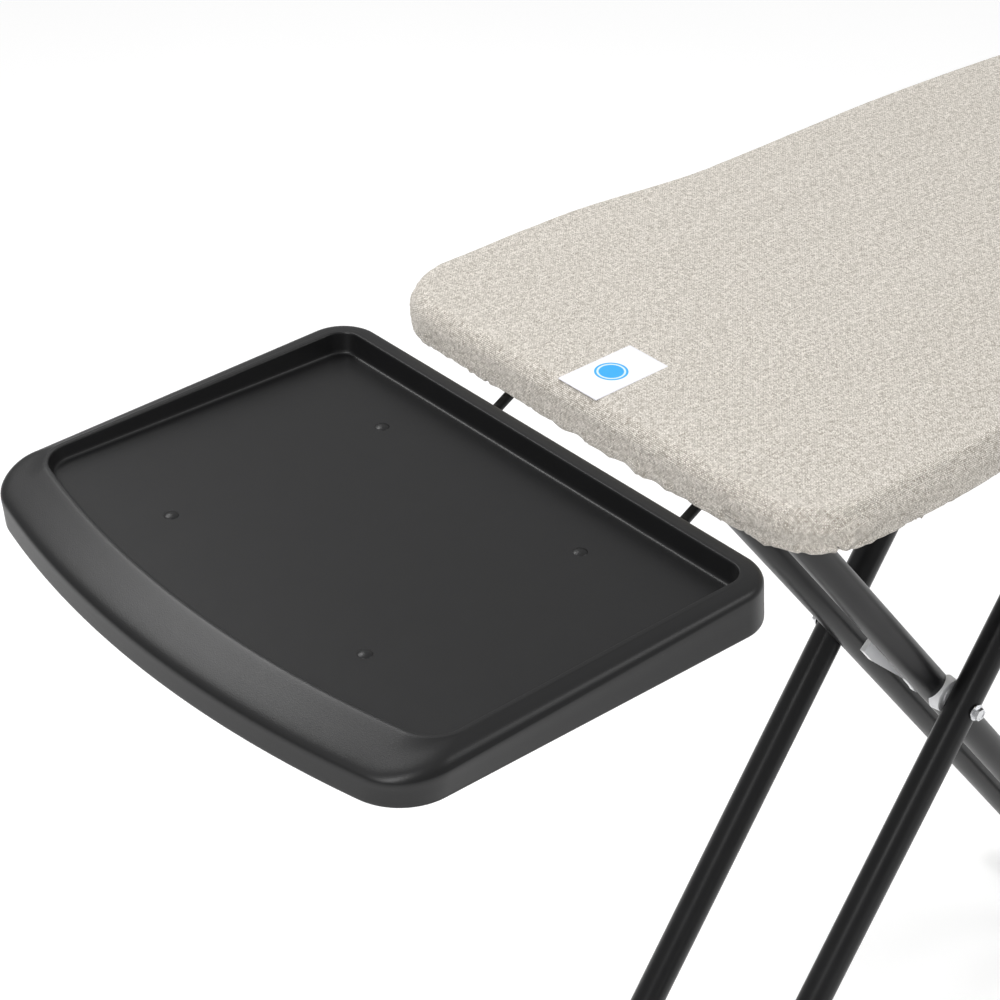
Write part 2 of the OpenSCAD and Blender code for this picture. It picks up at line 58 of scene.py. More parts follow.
class Paint:
    """One node material, and short ways to add its nodes."""

    def __init__(self, name, **settings):
        self.material = bpy.data.materials.new(name)
        self.material.use_nodes = True
        self.tree = self.material.node_tree
        self.shader = self.tree.nodes["Principled BSDF"]
        for key, value in settings.items():
            self.shader.inputs[key.replace("_", " ")].default_value = value

    def node(self, kind, *inputs, **settings):
        made = self.tree.nodes.new("ShaderNode" + kind)
        for key, value in settings.items():
            setattr(made, key, value)
        for index, value in enumerate(inputs):
            if value is not None:
                put(self.tree, made.inputs[index], value)
        return made

    def math(self, operation, a, b=0.0, c=None):
        made = self.node("Math", a, b, operation=operation)
        if c is not None:
            put(self.tree, made.inputs[2], c)
        return made.outputs[0]

    def place(self, scale=(1, 1, 1), source=None, turn=(0, 0, 0)):
        """Object coordinates, or another vector, stretched and turned."""
        source = source or self.node("TexCoord").outputs["Object"]
        made = self.node("Mapping", source)
        made.inputs["Scale"].default_value = scale
        made.inputs["Rotation"].default_value = turn
        return made.outputs[0]

    def noise(self, vector, scale, detail=2.0, roughness=0.5):
        made = self.node("TexNoise", vector)
        made.inputs["Scale"].default_value = scale
        made.inputs["Detail"].default_value = detail
        made.inputs["Roughness"].default_value = roughness
        return made.outputs["Fac"]

    def cells(self, vector, scale, feature="F1"):
        made = self.node("TexVoronoi", vector, feature=feature)
        made.inputs["Scale"].default_value = scale
        return made.outputs["Distance"]

    def spread(self, value, low, high, to_low=0.0, to_high=1.0):
        made = self.node("MapRange", value, low, high, to_low, to_high)
        return made.outputs[0]

    def blend(self, share, a, b):
        made = self.node("Mix", data_type="RGBA")
        put(self.tree, made.inputs[0], share)
        put(self.tree, made.inputs[6], a)
        put(self.tree, made.inputs[7], b)
        return made.outputs[2]

    def bump(self, height, distance, strength=1.0, under=None):
        made = self.node("Bump")
        made.inputs["Strength"].default_value = strength
        made.inputs["Distance"].default_value = distance
        put(self.tree, made.inputs["Height"], height)
        if under is not None:
            put(self.tree, made.inputs["Normal"], under)
        return made.outputs[0]

    def finish(self, color, roughness, normal):
        put(self.tree, self.shader.inputs["Base Color"], color)
        put(self.tree, self.shader.inputs["Roughness"], roughness)
        put(self.tree, self.shader.inputs["Normal"], normal)
        return self.material


def rgb(r, g, b):
    return (r, g, b, 1.0)


def powder_coat(name, dark, light, rough, grain, level=0.3):
    """Satin black powder coat: a fine orange peel, soft clouds in its gloss and faint pale rubs."""
    p = Paint(name, Specular_IOR_Level=level)
    peel = p.noise(p.place(), 900.0, 3.0, 0.6)
    fine = p.cells(p.place(), 2400.0)
    cloud = p.noise(p.place(), 14.0, 4.0, 0.6)
    rubs = p.spread(p.noise(p.place((1, 1, 3)), 60.0, 6.0, 0.7), 0.66, 0.8)
    color = p.blend(p.math("MULTIPLY", rubs, 0.35), p.blend(cloud, dark, light), rgb(0.09, 0.09, 0.095))
    roughness = p.math("ADD", p.spread(cloud, 0.3, 0.7, rough - 0.04, rough + 0.05), p.math("MULTIPLY", rubs, 0.12))
    normal = p.bump(peel, grain, 0.5, p.bump(fine, grain * 0.4, 0.4))
    return p.finish(color, roughness, normal)


def moulded(name, dark, light, rough, grain_scale, grain, level=0.5, swing=0.055):
    """Moulded plastic with an etched grain, a little mottling and small scuffs."""
    p = Paint(name, Specular_IOR_Level=level)
    grains = p.cells(p.place(), grain_scale, "SMOOTH_F1")
    mottle = p.noise(p.place(), 45.0, 5.0, 0.6)
    scuff = p.spread(p.noise(p.place((1, 6, 1), turn=(0.2, 0.1, 0.6)), 70.0, 5.0, 0.75), 0.68, 0.8)
    roughness = p.math("ADD", p.spread(mottle, 0.3, 0.7, rough - swing, rough + swing),
                       p.math("MULTIPLY", scuff, 2.7 * swing))
    normal = p.bump(grains, grain, 0.6, p.bump(mottle, 110 * swing * grain, 0.15))
    return p.finish(p.blend(mottle, dark, light), roughness, normal)


def plated(name, color_a, color_b, rough, stretch):
    """Zinc plated steel: fine drawn lines, pale spangle and duller patches."""
    p = Paint(name, Metallic=1.0)
    lines = p.noise(p.place(stretch), 500.0, 3.0, 0.6)
    patch = p.noise(p.place(), 90.0, 4.0, 0.6)
    color = p.blend(patch, color_a, color_b)
    roughness = p.math("ADD", p.spread(patch, 0.3, 0.7, rough - 0.06, rough + 0.1), p.math("MULTIPLY", lines, 0.08))
    return p.finish(color, roughness, p.bump(lines, 0.00004, 0.35))


def rubber_paint():
    p = Paint("rubber", Specular_IOR_Level=0.3)
    bloom = p.noise(p.place(), 35.0, 6.0, 0.65)
    grains = p.noise(p.place(), 1300.0, 3.0, 0.6)
    color = p.blend(p.spread(bloom, 0.45, 0.8), rgb(0.018, 0.018, 0.019), rgb(0.045, 0.045, 0.046))
    return p.finish(color, p.spread(bloom, 0.3, 0.7, 0.62, 0.8), p.bump(grains, 0.00006, 0.6))


def linen(name, light, dark, tint, pitch=1.3 * MM):
    """Melange linen-look plain weave. The attribute "flat" holds each point's place in the flat cloth."""
    p = Paint(name, Specular_IOR_Level=0.12, Sheen_Weight=0.25, Sheen_Roughness=0.6)
    flat = p.node("Attribute", attribute_name="flat").outputs["Vector"]
    split = p.node("SeparateXYZ", flat)
    threads = []
    for axis, along, across in (("X", 140.0, 520.0), ("Y", 150.0, 500.0)):
        stretch = (along, across, 1) if axis == "X" else (across, along, 1)
        slub = p.noise(p.place(stretch, flat), 1.0, 3.0, 0.62)
        fleck = p.noise(p.place([340 if v == along else v for v in stretch], flat), 1.0, 2.0, 0.7)
        threads.append(p.math("ADD", p.math("MULTIPLY", slub, 0.55), p.math("MULTIPLY", fleck, 0.45)))
    cell = [p.math("DIVIDE", split.outputs[k], pitch) for k in (0, 1)]
    round_up = [p.math("ABSOLUTE", p.math("SINE", p.math("MULTIPLY", c, math.pi))) for c in cell]
    over = p.math("FLOORED_MODULO", p.math("ADD", p.math("FLOOR", cell[0]), p.math("FLOOR", cell[1])), 2.0)
    warp = p.math("MULTIPLY", round_up[1], p.math("SQRT", round_up[0]))
    weft = p.math("MULTIPLY", round_up[0], p.math("SQRT", round_up[1]))
    under = p.math("SUBTRACT", 1.0, over)
    tone = p.math("ADD", p.math("MULTIPLY", threads[0], over), p.math("MULTIPLY", threads[1], under))
    height = p.math("ADD", p.math("MULTIPLY", warp, over), p.math("MULTIPLY", weft, under))
    streak = p.noise(p.place((3.0, 60.0, 1), flat), 1.0, 4.0, 0.6)
    # Painted shade: the cloth is darker in the low grooves between the threads, taken from the thread height. Cells
    # where the first thread set lies over are also a little darker, as part of the weave's own tone.
    groove_shade_and_over_tone = p.math("ADD", p.spread(height, 0.0, 0.55, 1.0, 0.0), p.math("MULTIPLY", over, 0.22))
    share = p.math("ADD", p.spread(tone, 0.4, 0.6, -0.35, 0.8), p.spread(streak, 0.3, 0.7, -0.05, 0.05))
    color = p.blend(p.math("ADD", share, groove_shade_and_over_tone), light, dark)
    fuzz = p.noise(p.place((1, 1, 1), flat), 2500.0, 3.0, 0.7)
    color = p.blend(p.math("MULTIPLY", fuzz, 0.12), color, tint)
    ripple = p.noise(p.place((1, 1, 1), flat), 45.0, 3.0, 0.5)
    normal = p.bump(height, 0.0004, 1.0, p.bump(ripple, 0.0008, 0.2))
    normal = p.bump(tone, 0.0002, 0.5, normal)
    return p.finish(color, p.spread(fuzz, 0.3, 0.7, 0.78, 0.95), normal)


def foam_paint():
    p = Paint("foam", Specular_IOR_Level=0.1, Sheen_Weight=0.2)
    pores = p.cells(p.place(), 900.0)
    clumps = p.noise(p.place(), 120.0, 5.0, 0.6)
    color = p.blend(clumps, rgb(0.74, 0.69, 0.56), rgb(0.86, 0.83, 0.74))
    # Painted shade: each pore is darkened towards its hollow centre.
    color = p.blend(p.spread(pores, 0.1, 0.45, 0.45, 0.0), color, rgb(0.4, 0.36, 0.28))
    return p.finish(color, p.spread(clumps, 0.3, 0.7, 0.85, 0.97), p.bump(pores, 0.0005, 0.8))


def braid_paint():
    """Braided cord. "flat" holds the distance along it and the angle round it."""
    p = Paint("cord", Specular_IOR_Level=0.2, Sheen_Weight=0.3)
    split = p.node("SeparateXYZ", p.node("Attribute", attribute_name="flat").outputs["Vector"])
    along, turn = (p.math("MULTIPLY", split.outputs[k], f) for k, f in ((0, 2400.0), (1, 4.0)))
    strands = [p.math("SINE", p.math(op, along, turn)) for op in ("ADD", "SUBTRACT")]
    height = p.math("MAXIMUM", *strands)
    fuzz = p.noise(p.place(), 1500.0, 3.0, 0.6)
    # Painted shade: the braid is darker in the low grooves between its strands.
    color = p.blend(p.spread(height, -0.4, 0.8, 0.9, 0.0), rgb(0.8, 0.78, 0.74), rgb(0.45, 0.43, 0.4))
    color = p.blend(p.math("MULTIPLY", fuzz, 0.3), color, rgb(0.6, 0.58, 0.55))
    return p.finish(color, p.spread(fuzz, 0.3, 0.7, 0.7, 0.9), p.bump(height, 0.0003, 0.8))


def label_paint(disc_x, disc_y, disc_r, edge):
    """White satin label with a plain blue disc, a thin pale ring in it and a woven edge."""
    p = Paint("label", Specular_IOR_Level=0.3, Sheen_Weight=0.15)
    split = p.node("SeparateXYZ", p.node("TexCoord").outputs["Object"])
    away = [p.math("SUBTRACT", split.outputs[k], at) for k, at in ((0, disc_x), (1, disc_y))]
    square = p.math("ADD", *[p.math("MULTIPLY", v, v) for v in away])
    reach = p.math("SQRT", square)
    soft = 0.15 * MM
    disc = p.spread(reach, disc_r - soft, disc_r + soft, 1.0, 0.0)
    ring = p.math("SUBTRACT", p.spread(reach, 0.74 * disc_r - soft, 0.74 * disc_r + soft),
                  p.spread(reach, 0.86 * disc_r - soft, 0.86 * disc_r + soft))
    weave = [p.math("ABSOLUTE", p.math("SINE", p.math("MULTIPLY", split.outputs[k], 7000.0))) for k in (0, 1)]
    height = p.math("MAXIMUM", *weave)
    cloud = p.noise(p.place(), 60.0, 4.0, 0.6)
    white = p.blend(cloud, rgb(0.80, 0.80, 0.85), rgb(0.86, 0.86, 0.89))
    blue = p.blend(cloud, rgb(0.012, 0.33, 0.80), rgb(0.02, 0.37, 0.85))
    color = p.blend(disc, white, p.blend(p.math("MULTIPLY", ring, 0.8), blue, rgb(0.75, 0.85, 0.95)))
    # Painted shade: small darker spots where the weave's height is lowest, between its threads.
    color = p.blend(p.spread(height, 0.0, 0.5, 0.25, 0.0), color, rgb(0.5, 0.5, 0.54))
    rim = p.node("SeparateXYZ", p.node("Attribute", attribute_name="flat").outputs["Vector"])
    hem = p.spread(rim.outputs[0], 0.0, edge, 1.0, 0.0)
    color = p.blend(p.math("MULTIPLY", hem, 0.25), color, rgb(0.55, 0.55, 0.6))
    return p.finish(color, p.spread(cloud, 0.3, 0.7, 0.42, 0.55), p.bump(height, 0.00006, 0.5))


LEG = powder_coat("leg_steel", rgb(0.0035, 0.0035, 0.004), rgb(0.005, 0.005, 0.0056), 0.34, 0.00003, 0.3)
BOARD = powder_coat("board_steel", rgb(0.010, 0.010, 0.011), rgb(0.017, 0.017, 0.018), 0.42, 0.00006)
MESH = powder_coat("mesh_steel", rgb(0.012, 0.012, 0.013), rgb(0.02, 0.02, 0.021), 0.5, 0.00006)
ZINC = plated("zinc", rgb(0.58, 0.585, 0.6), rgb(0.76, 0.765, 0.78), 0.2, (1, 1, 8))
DRAWN = plated("drawn_steel", rgb(0.45, 0.46, 0.47), rgb(0.62, 0.63, 0.65), 0.3, (8, 1, 8))
BLACK = moulded("black_plastic", rgb(0.011, 0.011, 0.012), rgb(0.018, 0.018, 0.019), 0.45, 1800.0, 0.00005)
TRAY = moulded("tray_plastic", rgb(0.006, 0.006, 0.0063), rgb(0.008, 0.008, 0.0084), 0.36, 1500.0, 0.00009, 0.3, 0.008)
GREY = moulded("grey_plastic", rgb(0.74, 0.745, 0.76), rgb(0.80, 0.805, 0.82), 0.38, 1600.0, 0.00003)
GRIP = moulded("grip_plastic", rgb(0.03, 0.032, 0.035), rgb(0.045, 0.048, 0.052), 0.6, 1100.0, 0.00009)
RUBBER = rubber_paint()
LINEN = linen("linen", rgb(0.92, 0.87, 0.80), rgb(0.30, 0.265, 0.215), rgb(0.70, 0.65, 0.59))
FOAM = foam_paint()
CORD = braid_paint()

# Finish of each carried-over CAD node, by the start of its name, and the bevel that breaks its edges
CAD_LOOKS = [
    ("inner_leg_", LEG, 0), ("outer_leg_", LEG, 0), ("hinge_bar", LEG, 0), ("inner_brace", LEG, 0),
    ("outer_brace", LEG, 0), ("inner_foot_tube", LEG, 0), ("outer_foot_tube", LEG, 0),
    ("tray_wire_", LEG, 0), ("rim_", BOARD, 0), ("cross_strut_", BOARD, 0.3),
    ("slide_rail_", BOARD, 0.3), ("hinge_bracket_", BOARD, 0.3), ("mesh_plate", MESH, 0),
    ("height_rack", ZINC, 0.3), ("pivot_bolt_", ZINC, 0.5), ("pivot_nut_", ZINC, 0.4),
    ("slide_bar", DRAWN, 0), ("tray_screws", ZINC, 0.3), ("clamp_screws", ZINC, 0.3),
    ("leg_plugs", BLACK, 0.6), ("tray_clips", BLACK, 0.8), ("wire_clamp_", BLACK, 0.8),
    ("cord_toggle", BLACK, 0.8), ("pivot_spacer_", GREY, 0.6), ("slide_shoe_", GREY, 0.6),
    ("release_lever", GREY, 0.4), ("lock_lever", GREY, 0.4), ("lever_grip", GRIP, 1.2),
]
for node_name, node in NODES.items():
    for start, look, bevel in CAD_LOOKS:
        if node_name.startswith(start):
            node.data.materials.clear()
            node.data.materials.append(look)
            if bevel:
                edge = node.modifiers.new("edges", "BEVEL")
                edge.width = bevel * MM
                edge.segments = 2
                edge.limit_method = "ANGLE"
                edge.angle_limit = math.radians(40)
                edge.harden_normals = True


# ---------------------------------------------------------------- mesh building


def piece(name, points, faces, body, slot, look, replaces=(), smooth=True):
    """A new mesh piece on a body, with its finish."""
    data = bpy.data.meshes.new(name)
    data.from_pydata([tuple(map(float, v)) for v in points], [], faces)
    data.validate()
    data.update()
    data.shade_smooth() if smooth else data.shade_flat()
    made = bpy.data.objects.new(name, data)
    bpy.context.scene.collection.objects.link(made)
    data.materials.append(look)
    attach(made, body)
    if replaces:
        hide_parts(*replaces)
    return made


def remember(made, values):
    """Stores a vector per point, for the weave and braid materials."""
    layer = made.data.attributes.new("flat", "FLOAT_VECTOR", "POINT")
    layer.data.foreach_set("vector", np.asarray(values, np.float32).ravel())


def modify(made, kind, **settings):
    added = made.modifiers.new(kind.lower(), kind)
    for key, value in settings.items():
        setattr(added, key, value)


def loops_to_faces(rows, count, closed=True, start=0, flip=False):
    """Quads between rows of count points each."""
    faces = []
    for r in range(rows - 1):
        a, b = start + r * count, start + (r + 1) * count
        for i in range(count if closed else count - 1):
            j = (i + 1) % count
            quad = (a + i, a + j, b + j, b + i)
            faces.append(quad[::-1] if flip else quad)
    return faces


def sweep(path, radius, sides=12, closed=False, squeeze=1.0):
    """A round bar along a path: its points, faces and the distance and angle of each point."""
    path = np.asarray(path, float)
    ahead = np.roll(path, -1, 0) - path
    if not closed:
        ahead[-1] = ahead[-2]
    back = np.roll(ahead, 1, 0)
    if not closed:
        back[0] = ahead[0]
    tangent = ahead / np.linalg.norm(ahead, axis=1)[:, None] + back / np.linalg.norm(back, axis=1)[:, None]
    tangent /= np.linalg.norm(tangent, axis=1)[:, None]
    helper = np.array([0, 0, 1.0]) if abs(tangent[0][2]) < 0.9 else np.array([0, 1.0, 0])
    side = np.cross(helper, tangent[0])
    side /= np.linalg.norm(side)
    radii = np.broadcast_to(np.asarray(radius, float), (len(path),))
    points, flat, run = [], [], 0.0
    for k, (centre, t) in enumerate(zip(path, tangent)):
        side = side - t * (side @ t)
        side /= np.linalg.norm(side)
        up = np.cross(t, side)
        run += np.linalg.norm(centre - path[k - 1]) if k else 0.0
        for s in range(sides):
            a = 2 * math.pi * s / sides
            points.append(centre + radii[k] * (math.cos(a) * side + squeeze * math.sin(a) * up))
            flat.append((run, a, 0))
    faces = loops_to_faces(len(path), sides)
    if closed:
        faces += [(len(path) * sides - sides + i, len(path) * sides - sides + (i + 1) % sides,
                   (i + 1) % sides, i) for i in range(sides)]
    else:
        faces += [tuple(range(sides)), tuple(range(len(path) * sides - 1, len(path) * sides - sides - 1, -1))]
    return points, faces, flat


def lathe(profile, centre, axis, sides=48):
    """A closed turned shape. profile lists (radius, distance along axis) from one end to the other."""
    axis = Vector(axis).normalized()
    side = axis.orthogonal().normalized()
    up = axis.cross(side)
    points = []
    for r, d in profile:
        for s in range(sides):
            a = 2 * math.pi * s / sides
            points.append(Vector(centre) + axis * d + r * (math.cos(a) * side + math.sin(a) * up))
    faces = loops_to_faces(len(profile), sides)
    faces += [tuple(range(sides)), tuple(range(len(profile) * sides - 1, len(profile) * sides - sides - 1, -1))]
    return points, faces


def gather(shapes):
    """Joins several (points, faces, ...) into one."""
    points, faces = [], []
    for shape in shapes:
        base = len(points)
        points += list(shape[0])
        faces += [tuple(i + base for i in f) for f in shape[1]]
    return points, faces


def smooth_path(points, steps=8):
    """A Catmull-Rom curve through the points."""
    p = np.asarray(points, float)
    p = np.vstack([2 * p[0] - p[1], p, 2 * p[-1] - p[-2]])
    out = []
    for k in range(1, len(p) - 2):
        for j in range(steps):
            t = j / steps
            out.append(0.5 * ((2 * p[k]) + (p[k + 1] - p[k - 1]) * t
                              + (2 * p[k - 1] - 5 * p[k] + 4 * p[k + 1] - p[k + 2]) * t * t
                              + (3 * p[k] - p[k - 1] - 3 * p[k + 1] + p[k + 2]) * t ** 3))
    out.append(p[-2])
    return np.array(out)


# ---------------------------------------------------------------- outline of the board

COVER_LOW, COVER_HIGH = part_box("cover")
COVER_X, COVER_L = COVER_LOW.x, COVER_HIGH.x - COVER_LOW.x
TOP = COVER_HIGH.z
HEM = COVER_LOW.z
WIDE_HALF = COVER_HIGH.y
WAIST_HALF = WIDE_HALF - 19 * MM
CORNER_R = 58 * MM
WIDE_TO, WAIST_FROM, TAPER_FROM = 160 * MM, 340 * MM, 480 * MM


def half_width(s):
    """Half the width of the cover at distance s from its square end."""
    if s < CORNER_R:
        return WIDE_HALF - CORNER_R + math.sqrt(max(0.0, CORNER_R ** 2 - (CORNER_R - s) ** 2))
    if s < WIDE_TO:
        return WIDE_HALF
    if s < WAIST_FROM:
        turn = math.pi * (s - WIDE_TO) / (WAIST_FROM - WIDE_TO)
        return WAIST_HALF + (WIDE_HALF - WAIST_HALF) * (1 + math.cos(turn)) / 2
    if s < TAPER_FROM:
        return WAIST_HALF
    share = (s - TAPER_FROM) / (COVER_L - TAPER_FROM)
    return WAIST_HALF * math.sqrt(max(0.0, 1 - share ** 1.6))


def resample(line, count):
    """count + 1 evenly spaced points along a line of points."""
    step = np.r_[0, np.cumsum(np.linalg.norm(np.diff(line, axis=0), axis=1))]
    at = np.linspace(0, step[-1], count + 1)
    return np.column_stack([np.interp(at, step, line[:, k]) for k in (0, 1)])


ALONG, ACROSS = 300, 110  # segments on each side and on each end of the outline


def cover_outline():
    """The outline as one loop: left side towards the nose, nose, right side, square end."""
    turns = np.linspace(0, math.pi / 2, 60)
    s = np.r_[CORNER_R * (1 - np.cos(turns)), np.linspace(CORNER_R, TAPER_FROM, 200)[1:],
              TAPER_FROM + (COVER_L - TAPER_FROM) * np.sin(np.linspace(0, math.pi / 2, 600))[1:]]
    chain = np.array([(COVER_X + v, half_width(v)) for v in s])
    chain = np.vstack([np.column_stack([np.full(40, COVER_X), np.linspace(0, chain[0][1], 41)[:-1]]), chain])
    run = np.r_[0, np.cumsum(np.linalg.norm(np.diff(chain, axis=0), axis=1))]
    corner = run[40] + CORNER_R * math.pi / 4
    nose = run[-1] - 0.13
    pick = lambda a, b: chain[(run >= a) & (run <= b)]
    end, side, tip = pick(0, corner), pick(corner, nose), pick(nose, run[-1] + 1)
    side = np.vstack([end[-1], side, tip[0]])
    mirror = lambda line: (line * (1, -1))[::-1]
    parts = [resample(side, ALONG), resample(np.vstack([tip, mirror(tip)[1:]]), ACROSS),
             resample(mirror(side), ALONG), resample(np.vstack([mirror(end), end[1:]]), ACROSS)]
    return np.vstack([part[:-1] for part in parts])


RING = cover_outline()
COUNT = len(RING)
tangents = np.roll(RING, -1, 0) - np.roll(RING, 1, 0)
tangents /= np.linalg.norm(tangents, axis=1)[:, None]
OUT = np.column_stack([-tangents[:, 1], tangents[:, 0]])
for _ in range(6):
    OUT = (np.roll(OUT, 1, 0) + 2 * OUT + np.roll(OUT, -1, 0)) / 4
OUT /= np.linalg.norm(OUT, axis=1)[:, None]
RUN = np.r_[0, np.cumsum(np.linalg.norm(np.diff(RING, axis=0), axis=1))]
BEND = np.linalg.norm(np.roll(OUT, -8, 0) - np.roll(OUT, 8, 0), axis=1)
BEND = np.convolve(np.r_[BEND[-12:], BEND, BEND[:12]], np.ones(25) / 25, "valid")
TURN = np.clip(BEND / 0.45, 0, 1)  # 1 round the corners and the nose, 0 on straight sides


def level(inset, z):
    """The outline moved in by inset, at height z; both may be lists along the loop."""
    inset = np.broadcast_to(inset, (COUNT,))
    return np.column_stack([RING - OUT * inset[:, None], np.broadcast_to(z, (COUNT,))])


def patch(ring, lift=None):
    """Quad grid that fills a loop: its points row by row, and the grid's index of each loop point."""
    left, nose = ring[:ALONG + 1], ring[ALONG:ALONG + ACROSS + 1]
    right = ring[ALONG + ACROSS:2 * ALONG + ACROSS + 1][::-1]
    tail = np.vstack([ring[2 * ALONG + ACROSS:], ring[:1]])[::-1]
    v, u = np.meshgrid(np.linspace(0, 1, ALONG + 1), np.linspace(0, 1, ACROSS + 1), indexing="ij")
    u, v = u[..., None], v[..., None]
    grid = ((1 - u) * left[:, None] + u * right[:, None] + (1 - v) * tail[None] + v * nose[None]
            - (1 - u) * (1 - v) * left[0] - u * (1 - v) * right[0] - (1 - u) * v * left[-1] - u * v * right[-1])
    if lift is not None:
        grid[..., 2] += lift(grid[..., 0], grid[..., 1], u[..., 0], v[..., 0])
    row = ACROSS + 1
    index = ([k * row for k in range(ALONG + 1)] + [ALONG * row + k for k in range(1, row)]
             + [k * row + ACROSS for k in range(ALONG - 1, -1, -1)] + [k for k in range(ACROSS - 1, 0, -1)])
    return grid.reshape(-1, 3), index


def patch_faces(flip=False):
    row = ACROSS + 1
    quads = [(v * row + u, v * row + u + 1, (v + 1) * row + u + 1, (v + 1) * row + u)
             for v in range(ALONG) for u in range(ACROSS)]
    return [q[::-1] for q in quads] if flip else quads


def waves(values, seed, low, high, terms=14):
    """Smooth noise round the loop, from -1 to 1, made of whole waves."""
    rng = np.random.default_rng(seed)
    total = np.zeros(len(values))
    for _ in range(terms):
        total += np.sin(2 * math.pi * rng.integers(low, high) * values + rng.uniform(0, 2 * math.pi))
    return total / math.sqrt(terms / 2) / 1.6


# ---------------------------------------------------------------- cover

LENGTH = RUN[-1] + np.linalg.norm(RING[0] - RING[-1])
SHARE = RUN / LENGTH
PLEAT = waves(SHARE, 11, 60, 130)
SWELL = waves(SHARE, 12, 15, 45)
GATHER = np.maximum(TURN, 0.22)
GATHER[2 * ALONG + ACROSS:] = np.maximum(GATHER[2 * ALONG + ACROSS:], 0.7)
GATHER = np.convolve(np.r_[GATHER[-10:], GATHER, GATHER[:10]], np.ones(21) / 21, "valid")
CORNER = TURN * (RING[:, 0] < COVER_X + 0.1)  # 1 round the two corners of the square end
# The cloth's section: how far in it lies, its height, and how strongly the gathers move it
SECTION = [(15, 0, 0), (12, -0.12, 0), (9.4, -0.6, 0), (7.2, -1.5, 0), (5.4, -2.8, 0), (3.9, -4.4, 0), (2.7, -6.2, 0),
           (1.8, -8.2, 0.04), (1.1, -10.4, 0.1), (0.6, -12.8, 0.2), (0.3, -15.4, 0.35), (0.15, -18, 0.5),
            (0.15, -20.6, 0.65),
           (0.2, -23.8, 0.8), (0.45, -27.2, 0.9), (1.1, -30.2, 1), (2.4, -32.6, 1), (4.4, -34.1, 0.95), (7, -34.7, 0.8),
           (9.8, -34.8, 0.65), (12.6, -34.6, 0.5), (15, -33.7, 0.45), (16.2, -32.1, 0.4), (15.6, -30.6, 0.4),
            (14, -30.1, 0.4),
           (12.2, -30.5, 0.4), (11.2, -31.7, 0.4), (11.6, -33.1, 0.4)]
CASING = 6  # rows of the hem's casing, which follow the last simulated row


def band_rows():
    """The gathered side band, row by row, before it is simulated."""
    rows, flats, run = [], [], -SECTION[0][0] * MM
    for k, (inset, drop, share) in enumerate(SECTION):
        if k:
            run += math.hypot(inset - SECTION[k - 1][0], drop - SECTION[k - 1][1]) * MM
        bulge = min(1, 2 * share) * GATHER * 1.1
        move = share * (1.3 * PLEAT * GATHER + 0.5 * SWELL) + bulge
        lift = share * (0.8 * np.roll(PLEAT, 3) * GATHER + 0.8 * SWELL - 2.4 * GATHER + 4.5 * CORNER)
        rows.append(level((inset - move) * MM, TOP + (drop + lift) * MM))
        flats.append(np.column_stack([RING + OUT * run, np.zeros(COUNT)]))
    return np.array(rows), np.array(flats)


def finer(rows):
    """Puts a new point between every two points round the loops."""
    ahead, back, far = np.roll(rows, -1, 1), np.roll(rows, 1, 1), np.roll(rows, -2, 1)
    middle = (9 * (rows + ahead) - back - far) / 16
    return np.stack([rows, middle], 2).reshape(len(rows), -1, rows.shape[2])


def add_pleats(rows):
    """Sharp creases that run up from the hem, close together where the cloth is gathered."""
    rng = np.random.default_rng(21)
    run = np.arange(2 * COUNT) * LENGTH / (2 * COUNT)
    at, creases = 0.0, []
    while at < LENGTH - 0.012:
        g = GATHER[int(at / LENGTH * COUNT) % COUNT]
        sharp = rng.uniform() < 0.4 * g
        creases.append((at, rng.uniform(1.6, 2.7) * MM * (0.6 if sharp else 1),
                        rng.uniform(0.5, 1.5) * MM * (0.25 + 0.75 * g) * (1.9 if sharp else 1),
                        rng.uniform(9, 22) * (0.4 + 0.6 * g), rng.uniform(-0.35, 0.35)))
        at += rng.uniform(0.011, 0.030) * (1 + 2.6 * max(0, 0.8 - g))
    out = np.column_stack([finer(OUT[None])[0], np.zeros(2 * COUNT)])
    for k, (_, drop, share) in enumerate(SECTION):
        if share == 0:
            continue
        shape = np.zeros(2 * COUNT)
        for place, wide, deep, tall, lean in creases:
            reach = np.clip((tall - (32 + drop)) / 7 + 0.2, 0, 1)
            if reach <= 0:
                continue
            groove_shade_and_over_tone = (run - place - lean * (32 + drop) * MM + LENGTH / 2) % LENGTH - LENGTH / 2
            groove = -np.exp(-(groove_shade_and_over_tone / wide) ** 2) + 0.5 * np.exp(-((groove_shade_and_over_tone - 2.1 * wide) / (1.4 * wide)) ** 2)
            shape += reach * deep * (groove + 0.35 * np.exp(-((groove_shade_and_over_tone + 2.1 * wide) / (1.4 * wide)) ** 2))
        under = np.clip((31 + drop) / 4, 0, 1)
        rows[k] += out * (shape * under)[:, None]
        rows[k][:, 2] -= shape * (1 - under) * 0.8
    return rows


